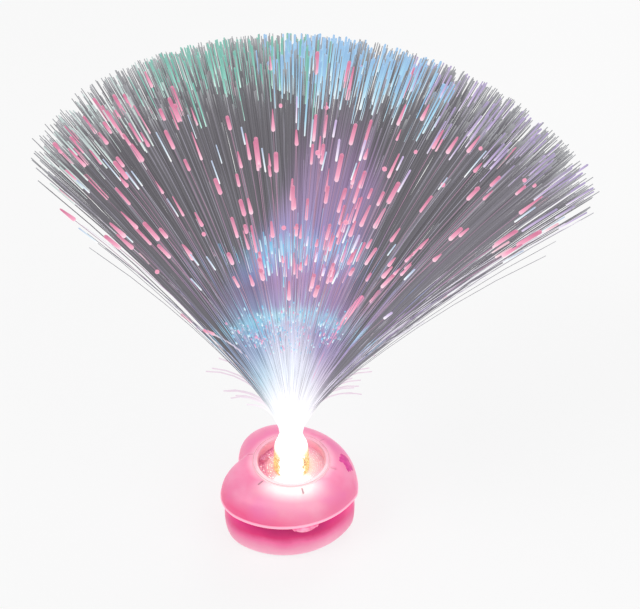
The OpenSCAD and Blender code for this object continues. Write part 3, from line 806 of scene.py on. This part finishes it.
def top_paint():
    """Pink, with painted shade deeper low on the sides, magenta at the blot, a painted pool of light white by
    the ring, and a painted highlight along the lip.
    """
    paint = shell_paint("shell_pink", subsurface_radius=(0.9, 0.35, 0.5), coat_weight=0.15,
                        coat_roughness=0.22)
    z = paint.axis("Z")
    radius, front, right = around(paint)
    cloud = paint.noise(0.017, 3)
    pink = cloud.ramp((0.32, "ec78ab"), (0.5, "ef81a9"), (0.68, "f290b3"))
    # Painted shade: the pink is deeper low on the dome's left and front flanks.
    side = right.spread(0.35, -0.75, 0, 0.75) + front.spread(-0.2, 0.7, 0, 0.35)
    deep = z.spread(0.042, 0.032) * side * cloud.spread(0.25, 0.6, 0.6, 1.1)
    pink = deep.at_most(0.9).mix(pink, "ee5289")

    edge = paint.noise(0.0035, 2)
    one, other = [paint.reach(spot, (1, 0.8, 0.9)) for spot in BLOT]
    near = one.at_most(other) + edge * 0.005
    blot = near.spread(0.0064, 0.0057, 0, 0.95)
    pink = blot.mix(pink, edge.ramp((0.35, "cf0d84"), (0.65, "e62f9b")))
    # Painted highlight: the rounded lip is paler and glows a little more.
    lip = z.spread(0.0315, 0.0308, 0, 0.85)
    pink = lip.mix(pink, "ffbad2")

    # Painted light: a pool of white round the ring, reaching further on the front, which also glows.
    white = radius.spread(0.0242, 0.0374, 1, 0) * front.spread(0.5, 1)
    far = radius.spread(0.03, 0.043, 0.3, 0) * front.spread(0.72, 1)
    white = white.at_least(far).at_least(radius.spread(0.0232, 0.028, 0.28, 0))
    white = white * cloud.spread(0.2, 0.8, 0.85, 1.1)
    colour = white.at_most(1).mix(pink, "fff3ed")
    # Painted shade: the six small dents are darkened, more so on the side towards the front.
    mark = paint.field("mark") * front.spread(0.1, 0.75, 0.35, 1)
    paint.lit(mark.mix(colour, "a46c7b"), white * 0.26 + lip * 0.12 + 0.2)
    return paint


def make_top_shell():
    levels = levels_at(RIM_Z, (TONGUE - 0.15, 0), (TONGUE - 0.5, 0), (1.3, 0), (0.8, 0.05))
    levels += levels_at(RIM_Z, *[(0.9 * (1 - math.sin(a)), 0.9 * (1 - math.cos(a)))
                                 for a in np.linspace(0.35, math.pi / 2, 5)])
    levels += levels_at(RIM_Z, (0, 1.3), (0.04, 1.6), (0.18, 1.9), (0.42, 2.12), (0.66, 2.25))
    levels += dome(0.5, 0, 60)[1:]
    outer = len(levels)
    inner = dome(TOP_WALL + 0.5, 0.4, 12)[::-1]
    for row in inner:
        row[:, 2] -= TOP_WALL * (row[:, 2] - RIM_Z) / (RING_Z - RIM_Z)
    levels += inner + levels_at(RIM_Z, (TOP_WALL + 0.5, 1.6), (TONGUE - 0.15, 1.6))
    points = np.concatenate(levels)
    mark = mark_depth(points) * (np.arange(len(points)) < outer * len(levels[0]))
    points[:, 2] -= MARK_DEEP * mark
    made = shell_piece("top_shell_moulding", points, len(levels), top_paint(), {"mark": mark})
    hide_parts("top_shell")


def lower_paint():
    """Painted shade: pale at the foot and deep under the lip, evened out on the sides; and painted light, a
    glow under the lip at the sides and back.
    """
    paint = shell_paint("shell_deep_pink", specular_ior_level=0.3, subsurface_radius=(0.9, 0.3, 0.5),
                        coat_weight=0.3, coat_roughness=0.2)
    z = paint.axis("Z")
    front = around(paint)[1]
    cloud = paint.noise(0.014, 3)
    # Painted shade: the pink darkens upwards, deepest under the lip that overhangs it, and is palest at the
    # foot.
    height = z + (cloud - 0.5) * 0.006
    colour = height.spread(0.002, 0.0285).ramp(
        (0, "f5aec6"), (0.26, "f096b6"), (0.5, "ec6b9f"), (0.74, "d3266f"), (1, "a8085b"))
    # Painted light: on the sides and back the painted shade is evened out towards one mid pink.
    colour = front.spread(0.88, 0.3, 0, 0.7).mix(colour, "e2508b")
    blot = paint.noise(0.02, 2).spread(0.42, 0.62) * z.spread(0.014, 0.024) * 0.35
    colour = blot.mix(colour, "bd1169")
    # Painted light: a glow under the lip at the sides and back, lifting the shade that the lip casts.
    under_lip_light = z.spread(0.016, 0.0285) * front.spread(0.97, 0.75, 0.15, 1)
    paint.lit(colour, under_lip_light * 0.55 + 0.22)
    return paint


# insets of the lower shell's widest part, its shoulder under the seam and its foot, and of the bottom plate
BULGE, SHOULDER, FOOT_IN, PLATE_IN, LOW_WALL = 2.0, 5.0, 6.8, 7.4, 2.0


def smooth_levels(stops, fine):
    """Levels along a smooth curve through (inset, height) stops."""
    stops = np.array(stops)
    padded = np.concatenate([[2 * stops[0] - stops[1]], stops, [2 * stops[-1] - stops[-2]]])
    out = []
    for a, b, c, d in zip(padded, padded[1:], padded[2:], padded[3:]):
        for t in np.linspace(0, 1, fine, endpoint=False):
            bend, twist = 2 * a - 5 * b + 4 * c - d, 3 * b - a - 3 * c + d
            out.append(0.5 * (2 * b + (c - a) * t + bend * t**2 + twist * t**3))
    return levels_at(0, *out, stops[-1])


def make_lower_shell():
    middle = (RIM_Z + FOOT_GAP) / 2
    rise = 0.2 * (RIM_Z - FOOT_GAP)
    outer = [(FOOT_IN, FOOT_GAP), (FOOT_IN - 0.8, FOOT_GAP + 0.25), (FOOT_IN - 2.2, FOOT_GAP + 1.5),
             (BULGE + 1.2, FOOT_GAP + 4), (BULGE + 0.3, middle - rise), (BULGE, middle),
             (BULGE + 0.4, middle + rise), (BULGE + 1.4, RIM_Z - 3.6), (SHOULDER - 0.5, RIM_Z - 1.4),
             (SHOULDER, RIM_Z - 0.1)]
    inner = [(BULGE + LOW_WALL + shift, z) for shift, z in (
        (1.4, RIM_Z - 3.6), (0.4, middle + rise), (0, middle), (0.3, middle - rise), (1.4, FOOT_GAP + 5.4))]
    ledge = PLATE_IN + 1.2
    levels = smooth_levels(outer, 4)
    lining = TONGUE + 1.4
    levels += levels_at(RIM_Z, (SHOULDER, 0), (TONGUE, 0), (TONGUE, 2), (lining, 2), (lining, 0.4))
    levels += smooth_levels(inner, 2)
    levels += levels_at(FOOT_GAP, (ledge, 3.2), (ledge, 2), (PLATE_IN, 2), (PLATE_IN, 0))
    paint = lower_paint()
    shell = shell_piece("lower_shell_moulding", np.concatenate(levels), len(levels), paint)
    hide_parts("lower_shell")

    hole = crescent_rows(0.22, [(SIDE_R - 12, 0), (SIDE_R + 2, 0)], above=3.0)
    cutter = merged("cutter", [hole], paint, "base")
    cut = shell.modifiers.new("hole", "BOOLEAN")
    cut.object, cut.operation, cut.solver = cutter, "DIFFERENCE", "EXACT"
    bpy.context.view_layer.update()
    done = bpy.data.meshes.new_from_object(shell.evaluated_get(bpy.context.evaluated_depsgraph_get()))
    shell.modifiers.clear()
    shell.data = done
    bpy.data.objects.remove(cutter)
    crisp(shell, 40)


# ---------------- the button and the springs

BUTTON_TURN = math.radians(-57)
BUTTON_W, BUTTON_H, BUTTON_PROUD = 16.0, 3.5, 0.3
BUTTON_Z = RIM_Z - 0.3 - BUTTON_H / 2
BUTTON_WAY = (math.cos(BUTTON_TURN), math.sin(BUTTON_TURN), 0)
FLANGE_X, GUIDE_X, STEM_FROM = SIDE_R - 10, SIDE_R - 14.3, SIDE_R - 17.2
CRESCENT_R = (BUTTON_W**2 / 4 + BUTTON_H**2) / (2 * BUTTON_H)
CELL_PITCH, CELL_FRONT, CELL_Z, CELL_SPRING = 11.2, 5.4, 9.3, 2.25


def at_button(points):
    """Points with X along the button's travel, brought to the lamp's frame."""
    x, y, z = np.asarray(points, float).T
    cos, sin = BUTTON_WAY[:2]
    return np.stack([SIDE_C[0] + x * cos - y * sin, -SIDE_C[1] + x * sin + y * cos, z + BUTTON_Z], 1)


def crescent(grow, above, steps=28):
    """The outline of the button's face about its middle, grown all round: flat on top and round below.

    With a height above, the top is raised by it, and not grown.
    """
    half, drop = BUTTON_W / 2 + grow, BUTTON_H / 2
    radius = CRESCENT_R + grow
    top = drop + (above or max(grow, 0))
    reach = math.asin(min(1, half / radius))
    low = circle(radius, np.linspace(-reach, reach, steps) - math.pi / 2) + (0, CRESCENT_R - drop)
    low = np.c_[np.clip(low[:, 0], -half, half), np.minimum(low[:, 1], top - 0.02)]
    roof = np.c_[np.linspace(half, -half, steps), np.full(steps, top)]
    return np.concatenate([low, roof])


def crescent_rows(grow, stops, above=0.0, curved=False):
    """A solid through (x, inset) stops of the crescent's outline."""
    rows = []
    for x, inset in stops:
        outline = crescent(grow - inset, above)
        outline[:, 1] = np.minimum(outline[:, 1], BUTTON_H / 2 + above - inset)
        wide = max(x, SIDE_R)
        bow = np.sqrt(wide**2 - outline[:, 0] ** 2) - wide if curved else 0
        rows.append(np.c_[np.full(len(outline), x) + bow, outline])
    count = len(rows[0])
    points = np.concatenate(rows + [rows[0].mean(0, keepdims=True), rows[-1].mean(0, keepdims=True)])
    first, last = len(points) - 2, len(points) - 1
    base = (len(rows) - 1) * count
    faces = [face[::-1] for face in grid_faces(len(rows), count)]
    faces += [(first, j, (j + 1) % count) for j in range(count)]
    faces += [(last, base + (j + 1) % count, base + j) for j in range(count)]
    return at_button(points), faces


def prism(outline, low, high):
    """A straight solid along the button's travel."""
    rows = [np.c_[np.full(len(outline), x), outline] for x in (low, high)]
    return at_button(np.concatenate(rows)), [face[::-1] for face in capped_grid(2, len(outline))]


def make_button():
    paint = Paint("button_pink", roughness=0.12, ior=1.48, coat_weight=1.0, coat_roughness=0.05)
    paint.lit(paint.noise(0.004, 2).ramp((0.3, "ef5f96"), (0.7, "fba0c0")), 0.3)
    face = SIDE_R + BUTTON_PROUD
    stops = [(FLANGE_X + 0.6, 0), (face - 1.2, 0), (face - 0.7, 0.05), (face - 0.35, 0.22),
             (face - 0.12, 0.5), (face, 0.95)]
    half, high = BUTTON_W / 2 + 1.3, BUTTON_H / 2
    flange = rounded([(-half, -high), (half, -high), (half, high), (-half, high)], 0.6)
    stem = circle(1.5, np.linspace(0, math.tau, 24, endpoint=False))
    parts = [crescent_rows(0, stops, curved=True), prism(flange, FLANGE_X, FLANGE_X + 1.2),
             prism(stem, STEM_FROM, FLANGE_X + 0.5)]
    made = merged("button_moulding", parts, paint, "button")
    crisp(made, 50)
    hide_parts("push_button")


def coil(turns, radii, wire, length, per_turn=20):
    """Points and faces of a spring along Z with flat end turns."""
    t = np.linspace(0, 1, int(turns * per_turn) + 1)
    rise = np.clip((t * turns - 0.8) / (turns - 1.6), 0, 1) * (length - 2 * wire) + wire
    path = np.c_[circle(np.interp(t, [0, 1], radii), math.tau * turns * t), rise]
    return tubes(path[None], np.full((1, len(t)), wire), 8)


def make_springs():
    steel = plain("spring_steel", "b9b9be", 0.22, 0.3, 0.01, 1)
    room = FLANGE_X - GUIDE_X
    points, faces = coil(5.5, (1.72, 1.72), 0.13, room)
    laid = at_button(points[:, [2, 0, 1]] + (GUIDE_X, 0, 0))
    spring = merged("button_coil", [(laid, faces)], steel, "base")
    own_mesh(spring)
    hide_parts("button_spring")

    low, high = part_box("battery_springs")
    points, faces = coil(3.4, (2.9, 2.1), 0.28, CELL_SPRING)
    parts = []
    for i, (y, way) in enumerate(((low[1], 1), (high[1], -1), (low[1], 1))):
        start = (CELL_FRONT - i * CELL_PITCH, y / MM, CELL_Z)
        parts.append((points[:, [0, 2, 1]] * (way, way, 1) + start, faces))
    plated = plain("spring_plated", "cfcbbf", 0.18, 0.4, 0.01, 1)
    made = merged("battery_coils", parts, plated, "base")
    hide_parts("battery_springs")


# ---------------- the crater


def make_ring():
    paint = Paint("ring_pink", roughness=0.2, ior=1.47, coat_weight=0.4, coat_roughness=0.12)
    radius, front = around(paint)[:2]
    pink = paint.noise(0.008, 3).ramp((0.3, "ee9cb6"), (0.7, "f6b6c6"))
    # Painted light: the ring is paler on the side that faces the front.
    pale = front.spread(-0.3, 1).mix(pink, "fbdfe2")
    # Painted shade: two thin darker lines at the ring's creases, by the groove and by the pit's edge.
    one, other = [abs(radius - line) for line in (0.0204, 0.0229)]
    thin = one.at_most(other).spread(0.00042, 0.00012, 0, 0.5)
    paint.lit(thin.mix(pale, "b5808c"), 0.25)
    base, top, edge, wall = RING_Z + 0.02, RING_Z + 1.2, RING_R + 1.4, PIT_R + 1.7
    profile = rounded([
        (PIT_R, DISH_TOP), (wall, DISH_TOP), (wall, base), (edge, base), (edge, top - 0.45),
        (edge - 0.4, top), (edge - 0.75, top), (edge - 0.95, top - 0.35), (edge - 1.25, top - 0.35),
        (edge - 1.45, top), (PIT_R + 0.55, top), (PIT_R, top - 0.6)], 0.25, 3)
    made = turned("trim_ring_moulding", profile, paint, columns=160)
    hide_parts("trim_ring")


def lit_floor(paint, pink, strength):
    """The nozzle's light on the floor: warm round it, and white to the front."""
    radius, front, right = around(paint)
    near = radius.spread(0.0108, 0.0185, 1, 0)
    white = front.spread(0.45, 0.95) * radius.spread(0.0197, 0.0165)
    # Painted light: the floor is paler towards the right, over the shade there.
    colour = right.spread(0.1, 0.9, 0, 0.8).mix(pink, "fcd8e1")
    colour = (near * 0.42).mix(colour, "fae2c0")
    colour = (white * 0.8).mix(colour, "fff8f0")
    paint.lit(colour, near * 0.2 + white * 0.35 + strength)


def crater_paint():
    paint = Paint("crater_pink", roughness=0.4)
    speck = paint.noise(0.8 * MM, 2)
    lit_floor(paint, speck.ramp((0.3, "c96890"), (0.7, "e692b2")), 0.15)
    paint.bump(speck, 0.08 * MM, 0.5)
    return paint


DOT_LEVELS = ((0.62, 0), (0.55, 0.24), (0.32, 0.42))  # radius and height
DOT_SIDES = 6


def make_stipple():
    """The raised dots on the crater's floor, in rings."""
    paint = Paint("stipple_pink", roughness=0.3)
    pink = paint.field("tone").ramp((0, "d581a2"), (0.4, "ec9cb8"), (0.7, "f6bacd"), (1, "fff0f2"))
    lit_floor(paint, pink, 0.25)
    rim = circle(1, np.arange(DOT_SIDES) * math.pi / 3)
    dot = np.concatenate([np.c_[wide * rim, np.full(DOT_SIDES, DISH_TOP - 0.02 + high)]
                          for wide, high in DOT_LEVELS])
    parts, tones = [], []
    random = np.random.default_rng(5)
    for k, ring in enumerate(np.arange(11.9, 19.5, 1.3)):
        count = int(math.tau * ring / 1.45)
        for x, y in circle(ring, math.tau * (np.arange(count) + 0.5 * (k % 2)) / count):
            if x < -15.6 and abs(y) < 3:
                continue
            parts.append(dot + (x, y, 0))
            tones.append(random.random())
    count = len(dot)
    faces = [tuple(first + i for i in face) for first in range(0, count * len(parts), count)
             for face in capped_grid(len(DOT_LEVELS), DOT_SIDES)]
    made = make_piece("crater_stipple", np.concatenate(parts) * MM, faces, paint, "base",
                      {"tone": np.repeat(tones, count)})
    crisp(made, 60)


def collar_paint():
    """White-hot plastic, amber at its left and right sides: painted light, how the glow looks where the
    collar turns aside.
    """
    paint = Paint("collar_glow", roughness=0.16, ior=1.49, coat_weight=0.6, coat_roughness=0.06)
    grain = paint.noise(1.5 * MM, 3)
    # Painted light: the amber and the weaker glow follow the sides to the left and right.
    edge = abs(paint.along(RIGHT)) + (grain - 0.5) * 0.006
    amber = edge.spread(0.0058, 0.0084) * paint.axis("Z").spread(0.0625, 0.0535)
    gold = grain.ramp((0.34, "fdf3a4"), (0.5, "f3dc86"), (0.68, "cfa070"))
    paint.lit(amber.mix("fffdf8", gold), amber.spread(0, 1, 0.95, 0.3))
    paint.bump(grain, 0.15 * MM, 0.5)
    return paint


def make_collar():
    height, foot, bore = COLLAR_TOP - DISH_TOP, 10.8, 6.64
    outside = ((0, 0), (0, 0.215), (0.15, 0.245), (0.8, 0.28), (0.85, 0.295), (0.35, 0.33), (0.2, 0.37),
               (0.22, 0.43), (0.32, 0.5), (0.45, 0.57), (0.62, 0.64), (0.88, 0.71), (1.25, 0.77), (1.9, 0.84),
               (2.6, 0.9))
    mouth = (1, 0.96), (0.85, 0.99), (0.6, 1), (0.35, 0.995), (0.1, 0.97)
    outline = [(foot - inset, share) for inset, share in outside]
    outline += [(bore + more, share) for more, share in mouth]
    profile = [(bore, DISH_TOP)] + [(r, DISH_TOP + share * height) for r, share in outline]
    profile.append((bore, COLLAR_TOP - 2.5))

    def flutes(turn, radius, high):
        share = (high - DISH_TOP) / height
        if radius <= bore + 1.2 or share > 0.9:
            return 0 * turn
        return 0.2 * (0.9 - share) * (np.cos(turn * 40) - 1)

    made = turned("collar_moulding", profile, collar_paint(), columns=240, ripple=flutes)
    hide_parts("bundle_collar")


# ---------------- the nodes that stay as they are

# a finish's name, colour, roughness, size and depth of grain, metal or not, and the nodes that have it
FINISHES = (
    ("white_plastic", "ececec", 0.42, 0.5, 0.04, 0, "base_plate battery_door led_reflector switch_plunger"),
    ("steel", "b8b8bc", 0.25, 0.3, 0.02, 1, "case_screws board_screws"),
    ("plated", "d0ccc0", 0.18, 0.4, 0.02, 1, "contact_plates"),
    ("black_plastic", "1c1c1e", 0.45, 0.3, 0.03, 0, "controller_chip switch_body"),
    ("rubber", "2c2c2f", 0.7, 0.4, 0.06, 0, "feet"),
    ("sleeve", "c9cacd", 0.3, 0.2, 0.02, 1, "ferrule"),
    ("board", "1e6b45", 0.35, 0.8, 0.02, 0, "circuit_board"),
    ("resistor", "3a3a3c", 0.5, 0.2, 0.01, 0, "resistors"),
    ("wire_red", "c21c1c", 0.45, 0.4, 0.02, 0, "wire_red"),
    ("wire_black", "151515", 0.45, 0.4, 0.02, 0, "wire_black"),
    ("lens", "f4f4f0", 0.12, 0.8, 0.01, 0, "mixing_lens"),
)


def cell_paint():
    """Steel ends, and a dark sleeve with a copper band."""
    paint = Paint("cell", roughness=0.25, metallic=0.75)
    y = abs(paint.axis("Y"))
    sleeve = y.spread(0.0125, 0.0127).mix("2b2b30", "b9742c")
    paint.set(base_color=y.spread(0.0208, 0.021).mix(sleeve, "c4c4c8"))
    paint.bump(paint.noise(0.6 * MM), 0.02 * MM, 0.3)
    return paint


def finish_nodes():
    finishes = [(plain(*looks), names) for *looks, names in FINISHES]
    finishes += [(crater_paint(), "recess_dish"),
                 (cell_paint(), "battery_cell_1 battery_cell_2 battery_cell_3")]
    for name, code in (("led_red", "ff5a50"), ("led_green", "5cf08a"), ("led_blue", "5c8cff")):
        paint = Paint(name, roughness=0.12)
        paint.lit(code, 0.8)
        finishes.append((paint, name))
    for paint, names in finishes:
        for name in names.split():
            materials = nodes[name].data.materials
            materials.clear()
            materials.append(paint.material)


# ---------------- floor and light


def seen(tree):
    """One for the rays that see the backdrop, and none for the light it gives."""
    path = add_node(tree, "LightPath", {})
    camera, glossy, through = [Value(tree, path, ray) for ray in (
        "Is Camera Ray", "Is Glossy Ray", "Is Transmission Ray")]
    return camera.at_least(glossy).at_least(through)


def mix_surface(tree, share, light, shown):
    """Shows a mix of two shaders: the one that lights, and the one that is seen."""
    shaders = {0: share, 1: Value(tree, light), 2: Value(tree, shown)}
    output = [node for node in tree.nodes if node.type.startswith("OUTPUT")][0]
    feed(tree, output.inputs["Surface"], Value(tree, add_node(tree, "MixShader", shaders)))


def add_stage():
    paint = Paint("floor", roughness=0.6)
    paint.set(base_color=paint.noise(0.4, 2).ramp((0.3, "f2f2f2"), (0.7, "f6f6f6")))
    shine = add_node(paint.tree, "Emission", {"Color": "ffffff", "Strength": 1.0})
    mix_surface(paint.tree, seen(paint.tree) * 0.78, paint.shader, shine)
    mesh = bpy.data.meshes.new("floor")
    far = 6.0
    mesh.from_pydata([(-far, -far, 0), (far, -far, 0), (far, far, 0), (-far, far, 0)], [], [(0, 1, 2, 3)])
    mesh.materials.append(paint.material)
    floor = add_object("floor", mesh)

    world = bpy.data.worlds.new("studio")
    world.use_nodes = True
    tree = world.node_tree
    light = tree.nodes["Background"]
    feed(tree, light.inputs["Color"], "ffffff")
    feed(tree, light.inputs["Strength"], 0.5)
    mix_surface(tree, seen(tree), light, add_node(tree, "Background", {"Color": "f7f7f7"}))
    bpy.context.scene.world = world


def add_lights():
    for name, place, size, power in (("key", (-0.9, -0.9, 1.5), 0.9, 9), ("fill", (1.2, -0.5, 0.9), 1.2, 5),
                                     ("rim", (0.2, 1.2, 1.2), 0.9, 5)):
        data = bpy.data.lights.new(name, "AREA")
        data.size = size
        data.energy = power
        add_aimed(name, data, place, (0, 0, 0.08))


# ---------------- making it all

bpy.context.scene.view_settings.view_transform = "Standard"
add_camera()
add_stage()
add_lights()
finish_nodes()
make_top_shell()
make_lower_shell()
make_button()
make_springs()
make_ring()
make_stipple()
make_collar()
make_root()
make_spray()
